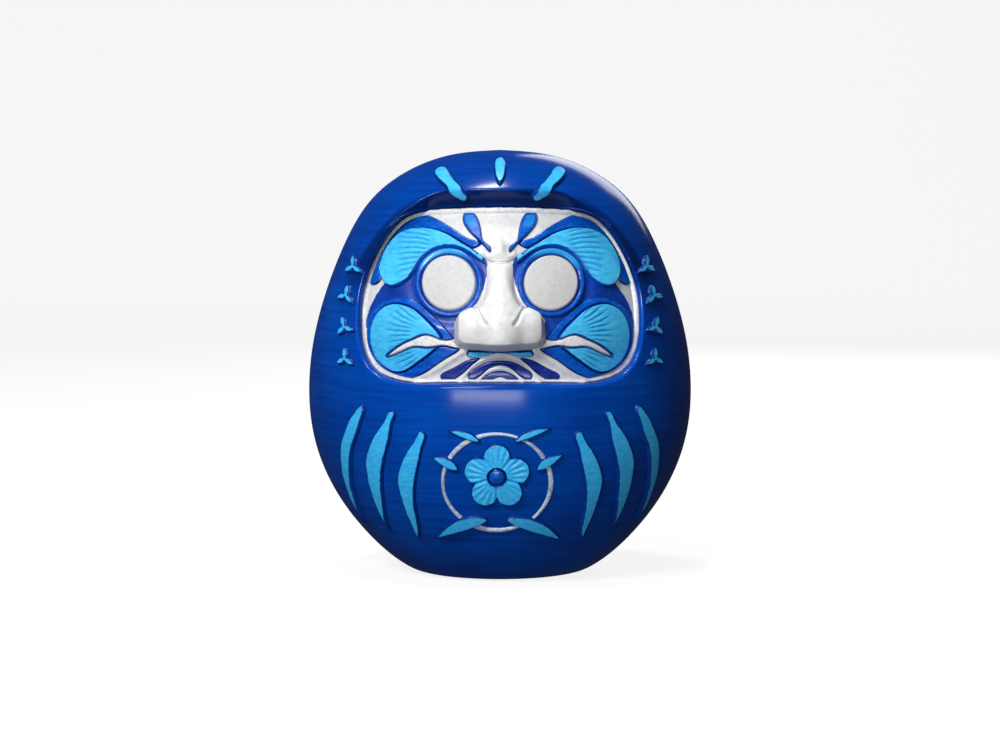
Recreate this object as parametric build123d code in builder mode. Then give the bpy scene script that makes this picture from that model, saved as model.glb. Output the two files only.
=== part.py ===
"""Daruma doll: a hollow moulded paper doll with a set-in face, raised painted lines and a clay foot weight.

Millimetres. +Z is up, the face looks along -Y, +X is the doll's left hand (the viewer's right).
Heights in this file are measured on the full egg, whose lowest FOOT millimetres are missing: the doll is cut
flat there. Each finished piece is let down by FOOT as it is saved, so that the origin of the saved pieces is
the middle of the flat foot, on the surface that the doll stands on.
"""

import os
from math import sqrt

from build123d import *

# Body
HEIGHT = 120.0  # of the full egg
FOOT = 2.6  # height of the flat foot on the full egg
WIDTH = 106.6
WAIST = 50.0  # height of the widest part
WALL = 3.0
BODY_PROFILE = [  # (radius, height) from the foot to the crown
    (20.0, FOOT),
    (24.0, 3.3),
    (27.4, 5.0),
    (36.7, 12.9),
    (46.6, 26.3),
    (52.0, 40.5),
    (WIDTH / 2, 53.2),
    (52.1, 66.6),
    (48.7, 80.0),
    (43.5, 93.5),
    (35.5, 106.6),
    (26.0, 114.0),
    (13.4, 118.7),
    (0.0, HEIGHT),
]

# Face opening, right half from the middle of its top to the middle of its bottom, as (x, z)
WINDOW = [
    (0.0, 104.2),
    (16.0, 103.6),
    (25.5, 101.4),
    (31.1, 95.3),
    (34.6, 88.5),
    (36.8, 81.0),
    (37.3, 74.0),
    (36.4, 66.8),
    (33.0, 61.2),
    (27.0, 58.7),
    (14.0, 58.5),
    (0.0, 58.6),
]
# The same opening inside the raised white rim
FACE_EDGE = [
    (0.0, 102.6),
    (15.8, 102.3),
    (24.3, 100.4),
    (29.9, 94.6),
    (33.0, 88.3),
    (34.9, 81.0),
    (35.3, 74.0),
    (34.6, 67.4),
    (31.8, 62.6),
    (26.6, 60.2),
    (14.0, 59.6),
    (0.0, 59.6),
]
# The scooped underside of the hood: its outline where it starts inside the doll, and the way it opens forward
SCOOP_START_Y = 24.0
SCOOP_DIRECTION = (0, -1.0, 1.04)
SCOOP = [
    (0.0, 99.7),
    (8.0, 100.9),
    (16.0, 103.0),
    (25.0, 99.6),
    (30.8, 93.4),
    (33.2, 85.5),
    (28.0, 78.0),
    (0.0, 76.0),
]

# Face: (radius, height) of its front surface, from the chin to the top of the forehead
FACE_PROFILE = [
    (45.5, 48.0),
    (46.5, 60.0),
    (47.0, 70.0),
    (45.2, 80.0),
    (40.8, 90.0),
    (36.9, 96.0),
    (30.3, 104.0),
    (25.5, 109.0),
]
FACE_THICKNESS = 4.0
FLANGE_THICKNESS = 2.0
FLANGE_WIDTH = 3.0
COLLAR_WIDTH = 6.0
COLLAR_BACK = 12.0

# How far each raised line stands off the surface under it
PASTE_RISE = 1.1
RING_RISE = 0.6
RIM_RISE = 0.9
BAND_RISE = 0.6
TUFT_RISE = 1.5
CURL_RISE = 0.9
FOLD_RISE = 1.3
EYE_RISE = 1.4
EYE_RIM_RISE = 1.2

# Eyes and nose
EYE_X, EYE_Z = 13.5, 84.6
EYE_RADIUS = 7.4
EYE_RIM_RADIUS = 9.0
EYE_SEAT = 1.0
NOSE_ROOT = 6.0  # depth of the nose's section centres behind the face
NOSE_SECTIONS = [  # (height, half width, how far it stands out)
    (89.6, 3.6, 1.2),
    (83.0, 4.0, 3.2),
    (77.5, 6.8, 6.2),
    (72.5, 11.4, 8.6),
    (69.5, 11.9, 9.0),
    (67.3, 10.0, 6.5),
]

# Foot
WEIGHT_TOP = 19.0
WEIGHT_DOME = 60.0
FOOT_HOLE = 15.0
BASE_PLATE_RADIUS = 17.0
BASE_PLATE_THICKNESS = 2.0
TAPE_WIDTH = 12.0
TAPE_THICKNESS = 0.6

REACH = 75.0  # longer than the doll is deep, so a prism this long passes its front

os.makedirs("parts", exist_ok=True)


def save(piece, name):
    """Labels a finished piece and writes its STEP file."""
    finished = Pos(0, 0, -FOOT) * piece.part
    finished.label = name
    export_step(finished, f"parts/{name}.step")


# ------------------------------------------------------------ forms that the pieces are cut from


def body_form(growth=0.0):
    """The solid outer form. Growth scales it about the waist and makes it that much wider all round."""
    factor = 1 + growth / (WIDTH / 2)
    with BuildPart() as form:
        with BuildSketch(Plane.XZ):
            with BuildLine():
                side = Spline(BODY_PROFILE)
                Line(side @ 1, (0, FOOT))
                Line((0, FOOT), side @ 0)
            make_face()
        revolve(axis=Axis.Z)
        scale(by=factor)
    return Pos(0, 0, WAIST * (1 - factor)) * form.part


def face_form(rise=0.0):
    """Everything behind the face's front surface, grown outward by rise."""
    with BuildPart() as form:
        with BuildSketch(Plane.XZ):
            with BuildLine():
                front = Spline([(radius + rise, height) for radius, height in FACE_PROFILE])
                Polyline(front @ 1, (0, FACE_PROFILE[-1][1]), (0, FACE_PROFILE[0][1]), front @ 0)
            make_face()
        revolve(axis=Axis.Z)
    return form.part


def whole(half):
    """A closed outline from its right half."""
    return half + [(-x, z) for x, z in reversed(half[1:-1])]


def widened(points, amount):
    """A closed clockwise outline, every point moved outward square to the line through its neighbours."""
    moved = []
    for before, (x, z), after in zip(points[-1:] + points[:-1], points, points[1:] + points[:1]):
        along = Vector(after[0] - before[0], after[1] - before[1]).normalized()
        moved.append((x - amount * along.Y, z + amount * along.X))
    return moved


def rounded(points):
    """A closed smooth outline on the doll's upright middle plane."""
    with BuildSketch(Plane.XZ) as sketch:
        with BuildLine():
            Spline(points, periodic=True)
        make_face()
    return sketch.sketch


def crescent(outer, inner):
    """An outline between two curves that meet at both ends. Inner leaves out the shared ends."""
    with BuildSketch(Plane.XZ) as sketch:
        with BuildLine():
            Spline(outer)
            Spline([outer[0], *inner, outer[-1]])
        make_face()
    return sketch.sketch


def leaf(base, tip, bulge):
    """A leaf between two points, its two sides arcs that stand off the middle by bulge."""
    with BuildSketch(Plane.XZ) as sketch:
        with BuildLine():
            SagittaArc(base, tip, bulge)
            SagittaArc(base, tip, -bulge)
        make_face()
    return sketch.sketch


def prism(outline, start=0.0):
    """The outline carried straight forward, past the doll's front. It starts that far ahead of the middle."""
    with BuildPart() as block:
        extrude(Pos(0, -start, 0) * outline, amount=REACH)
    return block.part


def relief(outline, surface, raised_surface, clear_of=(), within=None):
    """A raised piece: the outline pressed back onto a surface and filled up to the raised one."""
    with BuildPart() as piece:
        add(raised_surface)
        add(prism(outline), mode=Mode.INTERSECT)
        if within is not None:
            add(within, mode=Mode.INTERSECT)
        add(surface, mode=Mode.SUBTRACT)
        for neighbour in clear_of:
            add(neighbour, mode=Mode.SUBTRACT)
    return piece


def save_both(piece, name):
    """Saves a piece made for the doll's left side, and its twin on the right side."""
    save(piece, f"{name}_left")
    with BuildPart() as twin:
        add(mirror(piece.part, about=Plane.YZ))
    save(twin, f"{name}_right")


body = body_form()
cavity = body_form(-WALL)
face = face_form()
window = prism(rounded(whole(WINDOW)))
face_opening = prism(rounded(whole(FACE_EDGE)))

with BuildPart() as scoop:
    extrude(Pos(0, -SCOOP_START_Y, 0) * rounded(whole(SCOOP)), amount=REACH, dir=SCOOP_DIRECTION)

# ------------------------------------------------------------ paper shell in two halves, and its foot

# The shell is thicker all round the window, back to the face's own back surface
with BuildPart() as collar_zone:
    add(prism(rounded(widened(whole(WINDOW), COLLAR_WIDTH)), COLLAR_BACK))
    add(face_form(-FACE_THICKNESS), mode=Mode.SUBTRACT)

with BuildPart() as hollow:
    add(cavity)
    add(collar_zone.part, mode=Mode.SUBTRACT)

with BuildPart() as foot_opening:
    with Locations((0, 0, FOOT - 1)):
        Cylinder(FOOT_HOLE, 8, align=(Align.CENTER, Align.CENTER, Align.MIN))
    with Locations((0, 0, FOOT)):
        Cylinder(BASE_PLATE_RADIUS, 2 * BASE_PLATE_THICKNESS)

with BuildPart() as front_shell:
    add(body)
    split(bisect_by=Plane.XZ, keep=Keep.TOP)
    add(hollow.part, mode=Mode.SUBTRACT)
    add(window, mode=Mode.SUBTRACT)
    add(scoop.part, mode=Mode.SUBTRACT)
    add(foot_opening.part, mode=Mode.SUBTRACT)
save(front_shell, "front_shell")

with BuildPart() as back_shell:
    add(body)
    split(bisect_by=Plane.XZ, keep=Keep.BOTTOM)
    add(cavity, mode=Mode.SUBTRACT)
    add(foot_opening.part, mode=Mode.SUBTRACT)
save(back_shell, "back_shell")

with BuildPart() as base_plate:
    with Locations((0, 0, FOOT)):
        Cylinder(BASE_PLATE_RADIUS, BASE_PLATE_THICKNESS, align=(Align.CENTER, Align.CENTER, Align.MIN))
save(base_plate, "base_plate")

with BuildPart() as base_weight:
    with Locations((0, 0, WEIGHT_TOP - WEIGHT_DOME)):
        Sphere(WEIGHT_DOME)
    add(cavity, mode=Mode.INTERSECT)
    with Locations((0, 0, FOOT + BASE_PLATE_THICKNESS)):
        Cylinder(FOOT_HOLE, WALL, align=(Align.CENTER, Align.CENTER, Align.MIN))
save(base_weight, "base_weight")

with BuildPart() as seam_tape:
    add(cavity)
    add(body_form(-WALL - TAPE_THICKNESS), mode=Mode.SUBTRACT)
    with Locations((0, 0, HEIGHT / 2)):
        Box(2 * WIDTH, TAPE_WIDTH, 2 * HEIGHT, mode=Mode.INTERSECT)
    add(base_weight.part, mode=Mode.SUBTRACT)
save(seam_tape, "seam_tape")

# ------------------------------------------------------------ face: panel, rim, eyes and nose

with BuildSketch(Plane.XZ) as eye_pair:
    with Locations((EYE_X, EYE_Z), (-EYE_X, EYE_Z)):
        Circle(EYE_RADIUS)

with BuildPart() as flange:
    add(face_form(-FACE_THICKNESS))
    add(prism(rounded(widened(whole(WINDOW), FLANGE_WIDTH))), mode=Mode.INTERSECT)
    add(face_form(-FACE_THICKNESS - FLANGE_THICKNESS), mode=Mode.SUBTRACT)

with BuildPart() as eye_seats:
    add(prism(eye_pair.sketch))
    add(face_form(-EYE_SEAT), mode=Mode.SUBTRACT)

with BuildPart() as face_panel:
    add(face)
    add(window, mode=Mode.INTERSECT)
    add(face_form(-FACE_THICKNESS), mode=Mode.SUBTRACT)
    add(flange.part)
    add(eye_seats.part, mode=Mode.SUBTRACT)
save(face_panel, "face_panel")

face_rim = relief(rounded(whole(WINDOW)), face, face_form(RIM_RISE), [face_opening])
save(face_rim, "face_rim")

with BuildSketch(Plane.XZ) as eye_outline:
    with Locations((EYE_X, EYE_Z)):
        Circle(EYE_RADIUS)
eye = relief(eye_outline.sketch, face_form(-EYE_SEAT), face_form(EYE_RISE))
save_both(eye, "eye")

with BuildSketch(Plane.XZ) as eye_rim_disc:
    with Locations((EYE_X, EYE_Z)):
        Circle(EYE_RIM_RADIUS)
eye_rim = relief(eye_rim_disc.sketch, face, face_form(EYE_RIM_RISE), [prism(eye_outline.sketch)])
save_both(eye_rim, "eye_rim")
eye_area = prism(eye_rim_disc.sketch)

with BuildPart() as nose:
    for height, half_width, rise in NOSE_SECTIONS:
        radius = min(FACE_PROFILE, key=lambda place: abs(place[1] - height))[0]
        with BuildSketch(Plane.XY.offset(height)):
            with Locations((0, NOSE_ROOT - radius)):
                Ellipse(half_width / sqrt(1 - (NOSE_ROOT / (NOSE_ROOT + rise)) ** 2), NOSE_ROOT + rise)
    loft()
    add(face, mode=Mode.SUBTRACT)
    add(eye_area, mode=Mode.SUBTRACT)
    add(mirror(eye_area, about=Plane.YZ), mode=Mode.SUBTRACT)
save(nose, "nose")

# ------------------------------------------------------------ raised lines and tufts on the face

tuft_surface = face_form(TUFT_RISE)
band_surface = face_form(BAND_RISE)
curl_surface = face_form(CURL_RISE)

curl = relief(
    rounded(
        [
            (7.9, 102.4),
            (9.7, 101.6),
            (9.5, 99.6),
            (7.4, 97.2),
            (4.8, 94.9),
            (2.6, 93.0),
            (2.0, 93.9),
            (4.4, 96.6),
            (5.4, 100.2),
        ]
    ),
    face,
    curl_surface,
    within=face_opening,
)
save_both(curl, "forehead_curl")

forehead_fold = relief(
    rounded(
        [
            (0.0, 96.0),
            (2.3, 94.8),
            (4.2, 92.4),
            (3.4, 90.7),
            (0.0, 90.0),
            (-3.4, 90.7),
            (-4.2, 92.4),
            (-2.3, 94.8),
        ]
    ),
    face,
    face_form(FOLD_RISE),
    [nose.part, curl.part, mirror(curl.part, about=Plane.YZ)],
)
save(forehead_fold, "forehead_fold")

brow = relief(
    rounded(
        [
            (4.6, 90.6),
            (8.2, 93.6),
            (14.6, 97.2),
            (22.0, 98.5),
            (28.3, 95.2),
            (31.5, 88.9),
            (30.3, 83.9),
            (26.8, 83.4),
            (23.0, 86.6),
            (18.0, 91.4),
            (10.0, 91.6),
        ]
    ),
    face,
    tuft_surface,
    [eye_area],
    face_opening,
)
save_both(brow, "brow")

brow_band = relief(
    rounded(
        [
            (5.0, 95.3),
            (11.0, 97.8),
            (16.3, 100.9),
            (21.2, 102.2),
            (26.7, 99.6),
            (30.6, 94.3),
            (32.6, 89.1),
            (33.4, 84.6),
            (31.4, 86.6),
            (26.0, 92.0),
            (18.0, 95.0),
            (10.0, 93.4),
        ]
    ),
    face,
    band_surface,
    [brow.part, curl.part, eye_area, face_rim.part, mirror(face_rim.part, about=Plane.YZ)],
    face_opening,
)
save_both(brow_band, "brow_band")

whisker_outline = rounded(
    [
        (9.0, 70.0),
        (16.3, 70.2),
        (20.2, 70.6),
        (24.4, 68.9),
        (28.8, 65.8),
        (25.8, 66.4),
        (21.4, 68.0),
        (16.4, 67.7),
        (9.0, 68.2),
    ]
)
whisker = relief(whisker_outline, face, curl_surface, [nose.part])
save_both(whisker, "whisker")
whisker_area = prism(whisker_outline)

cheek = relief(
    rounded(
        [
            (15.2, 69.3),
            (18.8, 74.3),
            (23.9, 78.1),
            (29.9, 77.9),
            (33.4, 73.8),
            (33.3, 67.1),
            (29.9, 62.0),
            (26.0, 61.0),
            (21.7, 63.4),
            (16.9, 67.2),
        ]
    ),
    face,
    tuft_surface,
    [whisker_area],
    face_opening,
)
save_both(cheek, "cheek")

cheek_band = relief(
    rounded(
        [
            (12.0, 69.0),
            (13.6, 72.1),
            (18.5, 77.0),
            (23.9, 80.1),
            (30.2, 79.4),
            (34.4, 75.3),
            (35.0, 68.9),
            (32.3, 62.3),
            (26.3, 59.4),
            (19.8, 60.9),
            (13.6, 65.4),
        ]
    ),
    face,
    band_surface,
    [cheek.part, whisker_area, eye_area, nose.part],
    face_opening,
)
save_both(cheek_band, "cheek_band")

upper_lip = relief(
    crescent(
        [(-8.8, 66.0), (-5.0, 67.5), (0.0, 67.8), (5.0, 67.5), (8.8, 66.0)],
        [(-4.5, 65.4), (0.0, 66.3), (4.5, 65.4)],
    ),
    face,
    curl_surface,
    [nose.part],
)
save(upper_lip, "upper_lip")

moustache = relief(
    rounded(
        [
            (5.6, 64.5),
            (9.4, 64.0),
            (13.6, 61.7),
            (15.7, 60.1),
            (12.8, 60.2),
            (9.4, 61.4),
            (6.8, 63.2),
        ]
    ),
    face,
    band_surface,
    [cheek_band.part],
    face_opening,
)
save_both(moustache, "moustache")

mouth_arc_outer = relief(
    crescent(
        [(-8.4, 59.6), (-6.8, 62.2), (-3.5, 64.0), (0.0, 64.4), (3.5, 64.0), (6.8, 62.2), (8.4, 59.6)],
        [(-6.6, 59.8), (-3.2, 62.0), (0.0, 62.9), (3.2, 62.0), (6.6, 59.8)],
    ),
    face,
    band_surface,
    [moustache.part, mirror(moustache.part, about=Plane.YZ)],
    face_opening,
)
save(mouth_arc_outer, "mouth_arc_outer")

mouth_arc_inner = relief(
    crescent(
        [(-4.6, 59.7), (-2.6, 61.2), (0.0, 61.7), (2.6, 61.2), (4.6, 59.7)],
        [(0.0, 59.9)],
    ),
    face,
    band_surface,
)
save(mouth_arc_inner, "mouth_arc_inner")

# ------------------------------------------------------------ raised lines on the body

with BuildPart() as hood:
    add(body)
    split(bisect_by=Plane.XZ, keep=Keep.TOP)
    add(scoop.part, mode=Mode.SUBTRACT)

with BuildPart() as raised_hood:
    add(body_form(PASTE_RISE))
    split(bisect_by=Plane.XZ, keep=Keep.TOP)
    add(Pos(0, 0, -PASTE_RISE) * scoop.part, mode=Mode.SUBTRACT)

crown_bar = relief(
    rounded(
        [
            (14.6, 114.5),
            (17.0, 114.2),
            (17.3, 112.4),
            (14.6, 109.4),
            (10.9, 107.0),
            (8.5, 107.1),
            (9.4, 109.2),
            (12.7, 112.0),
        ]
    ),
    hood.part,
    raised_hood.part,
)
save_both(crown_bar, "crown_bar")

crown_bar_centre = relief(
    rounded([(0.0, 117.2), (1.5, 116.2), (1.6, 113.2), (0.0, 110.4), (-1.6, 113.2), (-1.5, 116.2)]),
    hood.part,
    raised_hood.part,
)
save(crown_bar_centre, "crown_bar_centre")

paste_surface = body_form(PASTE_RISE)

ROBE_FOLDS = [  # outer edge, inner edge
    (
        [(36.2, 52.3), (39.4, 48.2), (42.3, 41.1), (42.4, 33.3), (40.3, 25.5), (35.7, 17.7)],
        [(36.0, 48.6), (38.6, 41.0), (39.4, 33.2), (38.6, 26.2)],
    ),
    (
        [(28.2, 51.3), (31.6, 46.4), (34.8, 40.7), (35.4, 34.3), (33.6, 26.4), (29.1, 16.5)],
        [(27.5, 48.6), (29.2, 41.3), (30.8, 34.2), (30.7, 26.7), (29.9, 20.4)],
    ),
    (
        [(20.7, 46.4), (23.6, 42.1), (26.4, 36.0), (26.6, 29.5), (24.6, 22.9), (21.5, 15.9)],
        [(19.6, 42.6), (21.3, 35.4), (22.2, 28.4), (21.6, 21.7)],
    ),
]
for number, (outer, inner) in enumerate(ROBE_FOLDS, start=1):
    save_both(relief(crescent(outer, inner), body, paste_surface), f"robe_fold_{number}")

# ------------------------------------------------------------ emblem: a plum blossom in a ring

EMBLEM_X, EMBLEM_Z = -0.8, 32.3
EMBLEM_RADIUS = 14.9
EMBLEM_HEIGHT = 13.9  # the ring leans back with the belly, so it is a little lower than it is wide
RING_WIDTH = 1.3
PETAL_RADIUS = 3.7
PETAL_REACH = 5.2

with BuildSketch(Plane.XZ) as ring_outline:
    with Locations((EMBLEM_X, EMBLEM_Z)):
        Ellipse(EMBLEM_RADIUS, EMBLEM_HEIGHT)
        Ellipse(EMBLEM_RADIUS - RING_WIDTH, EMBLEM_HEIGHT - RING_WIDTH, mode=Mode.SUBTRACT)
emblem_ring = relief(ring_outline.sketch, body, body_form(RING_RISE))
save(emblem_ring, "emblem_ring")

with BuildSketch(Plane.XZ) as heart_outline:
    with Locations((EMBLEM_X, EMBLEM_Z + 2.0)):
        Circle(2.3)
emblem_heart = relief(heart_outline.sketch, body, body_form(PASTE_RISE + 0.5))
save(emblem_heart, "emblem_heart")

with BuildSketch(Plane.XZ) as petal_outline:
    with Locations((EMBLEM_X, EMBLEM_Z + 2.0)):
        with PolarLocations(PETAL_REACH, 5, start_angle=90):
            Circle(PETAL_RADIUS)
        Circle(PETAL_REACH - 1)
emblem_blossom = relief(petal_outline.sketch, body, paste_surface, [prism(heart_outline.sketch)])
save(emblem_blossom, "emblem_blossom")

EMBLEM_LEAVES = {  # base, tip, bulge
    "emblem_leaf_left": ((1.6, 22.6), (16.2, 16.2), 2.1),
    "emblem_leaf_right": ((-3.2, 22.6), (-16.6, 16.8), 2.1),
    "emblem_twig_left": ((3.6, 43.6), (13.6, 47.2), 1.2),
    "emblem_twig_right": ((-5.0, 43.6), (-13.8, 46.4), 1.2),
    "emblem_bud_left": ((9.4, 36.2), (16.4, 40.2), 1.5),
    "emblem_bud_right": ((-10.8, 36.2), (-17.6, 39.4), 1.5),
}
for name, (base, tip, bulge) in EMBLEM_LEAVES.items():
    save(relief(leaf(base, tip, bulge), body, paste_surface, [emblem_ring.part, emblem_blossom.part]), name)

# ------------------------------------------------------------ leaf sprigs beside the face

SPRIGS = [(39.2, 88.2), (41.0, 80.5), (41.3, 72.2), (41.0, 64.0)]
for number, (x, z) in enumerate(SPRIGS, start=1):
    with BuildSketch(Plane.XZ) as sprig_outline:
        with Locations((x, z)):
            with PolarLocations(1.5, 3, start_angle=90):
                Ellipse(1.9, 0.85)
            Circle(0.8)
    save_both(relief(sprig_outline.sketch, body, paste_surface), f"side_sprig_{number}")
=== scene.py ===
import math

import bmesh
import bpy
import numpy as np
from mathutils import Matrix, Vector


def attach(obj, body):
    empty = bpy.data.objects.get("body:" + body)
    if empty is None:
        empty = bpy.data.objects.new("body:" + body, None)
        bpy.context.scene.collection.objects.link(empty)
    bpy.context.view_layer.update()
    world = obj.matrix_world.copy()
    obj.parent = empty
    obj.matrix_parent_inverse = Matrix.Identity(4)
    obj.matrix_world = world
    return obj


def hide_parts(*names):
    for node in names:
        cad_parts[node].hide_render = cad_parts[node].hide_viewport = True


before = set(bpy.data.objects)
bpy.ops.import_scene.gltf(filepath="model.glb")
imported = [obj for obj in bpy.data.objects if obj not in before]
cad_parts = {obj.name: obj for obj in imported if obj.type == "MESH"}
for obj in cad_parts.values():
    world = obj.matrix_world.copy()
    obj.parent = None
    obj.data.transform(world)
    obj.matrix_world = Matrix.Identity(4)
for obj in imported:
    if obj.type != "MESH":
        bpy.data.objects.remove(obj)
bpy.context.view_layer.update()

# ---------------------------------------------------------------- body shell
# The body is a hollow egg of pasted paper, moulded in a front and a back half and joined at the sides.
# It is brushed all over with cobalt blue lacquer; a window for the face is cut in the front half, and the
# hood above the window is scooped away underneath so that its edge overhangs the forehead.
# Sizes are in millimetres on the full egg; the flat foot cuts it off 2.6 mm up, and that becomes the floor.
MM = 0.001
FOOT = 2.6
DOWN = np.array([0.0, 0.0, FOOT])
CENTRE = np.array([0.0, 0.0, 56.0])


def cubic(knots_x, knots_y):
    """A natural cubic curve through the points, as a function."""
    x, y = np.array(knots_x, float), np.array(knots_y, float)
    h = np.diff(x)
    n = len(x)
    a = np.eye(n)
    b = np.zeros(n)
    for i in range(1, n - 1):
        a[i, i - 1], a[i, i], a[i, i + 1] = h[i - 1], 2 * (h[i - 1] + h[i]), h[i]
        b[i] = 6 * ((y[i + 1] - y[i]) / h[i] - (y[i] - y[i - 1]) / h[i - 1])
    m = np.linalg.solve(a, b)

    def value(t):
        t = np.asarray(t, float)
        i = np.clip(np.searchsorted(x, t) - 1, 0, n - 2)
        u, v = x[i + 1] - t, t - x[i]
        return (
            (m[i] * u**3 + m[i + 1] * v**3) / (6 * h[i])
            + (y[i] / h[i] - m[i] * h[i] / 6) * u
            + (y[i + 1] / h[i] - m[i + 1] * h[i] / 6) * v
        )

    return value


# half widths and heights up the body's side, from the foot to the crown
SIDE = [
    (20.0, FOOT), (24.0, 3.3), (27.4, 5.0), (36.7, 12.9), (46.6, 26.3), (52.0, 40.5), (53.3, 53.2), (52.1, 66.6),
    (48.7, 80.0), (43.5, 93.5), (35.5, 106.6), (26.0, 114.0), (13.4, 118.7), (0.0, 120.0),
]
run = np.concatenate([[0], np.cumsum([math.dist(p, q) for p, q in zip(SIDE, SIDE[1:])])])
side_r, side_z = cubic(run, [p[0] for p in SIDE]), cubic(run, [p[1] for p in SIDE])
steps = np.linspace(0, run[-1], 1500)
table_z, table_r = side_z(steps), np.maximum(side_r(steps), 0)
upward = np.argsort(table_z)
table_z, table_r = table_z[upward], table_r[upward]


def body_radius(z):
    return np.interp(z, table_z, table_r)


def body_hit(directions):
    """Where rays from the middle of the body meet its outer surface."""
    near, far = np.zeros(len(directions)), np.full(len(directions), 90.0)
    for _ in range(44):
        middle = (near + far) / 2
        p = CENTRE + directions * middle[:, None]
        inside = (np.hypot(p[:, 0], p[:, 1]) < body_radius(p[:, 2])) & (p[:, 2] > FOOT) & (p[:, 2] < 120)
        near, far = np.where(inside, middle, near), np.where(inside, far, middle)
    return CENTRE + directions * near[:, None]


def smooth_loop(points, count=360):
    """A closed smooth outline through the points, sampled evenly."""
    pts = np.array(points, float)
    wrapped = np.vstack([pts[-3:], pts, pts[:3]])
    along = np.concatenate([[0], np.cumsum(np.hypot(*np.diff(wrapped, axis=0).T))])
    fx, fz = cubic(along, wrapped[:, 0]), cubic(along, wrapped[:, 1])
    t = np.linspace(along[3], along[3 + len(pts)], count, endpoint=False)
    return np.column_stack([fx(t), fz(t)])


def whole(half):
    return half + [(-x, z) for x, z in reversed(half[1:-1])]


WINDOW = whole([
    (0.0, 104.2), (16.0, 103.6), (25.5, 101.4), (31.1, 95.3), (34.6, 88.5), (36.8, 81.0),
    (37.3, 74.0), (36.4, 66.8), (33.0, 61.2), (27.0, 58.7), (14.0, 58.5), (0.0, 58.6),
])
window_loop = smooth_loop(WINDOW, 900)

hood_arch = cubic([0.0, 8.0, 16.0, 25.0, 30.8, 33.2, 36.0], [99.7, 100.9, 103.0, 99.6, 93.4, 85.5, 70.0])


HOOD_LOW = 84.0  # the hood's underside starts above this height
HOOD_HALF_WIDTH = 36.0
SCOOP_START = 24.0  # how far forward the scoop starts, and how much it opens upward for each mm forward
SCOOP_SLOPE = 1.04
SCOOP_BLEND = 1.1


def body_front(x, z):
    """How far forward (as -Y) the body's surface is at x, z: the egg, with the hood's scooped underside."""
    r = body_radius(z)
    egg = -np.sqrt(np.maximum(r * r - x * x, 1e-6))
    scoop = -SCOOP_START - (z - hood_arch(np.clip(np.abs(x), 0, HOOD_HALF_WIDTH))) / SCOOP_SLOPE
    scoop = np.where((z > HOOD_LOW) & (np.abs(x) < HOOD_HALF_WIDTH), scoop, -200.0)
    blend = np.clip(0.5 + 0.5 * (scoop - egg) / SCOOP_BLEND, 0, 1)
    return egg * (1 - blend) + scoop * blend + SCOOP_BLEND * blend * (1 - blend)


hood_ridge = cubic([0.0, 10.0, 19.9, 30.8, 41.2, 46.0], [110.6, 110.6, 109.0, 102.0, 86.0, 76.0])


def soft(t):
    """0 to 1 with soft ends, for t from 0 to 1."""
    t = np.clip(t, 0, 1)
    return t * t * (3 - 2 * t)


RINGS, AROUND = 260, 560
EDGE_RINGS = 9  # rings of the mesh in the window's edge: the first three are its wall, the others its roll
WALL_RINGS = 3
WALL_STEP = 5.0
EDGE_ROLL = 1.3
EASE_RINGS = 14  # rings over which the body eases into the roll
WINDOW_MIDDLE = 80.0
FOOT_RECESS_RADIUS, FOOT_RECESS = 17.05, 2.0


def egg_front(x, z):
    """How far forward (as -Y) the plain egg is at x, z."""
    return -np.sqrt(np.maximum(body_radius(z) ** 2 - x**2, 1e-6))


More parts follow.
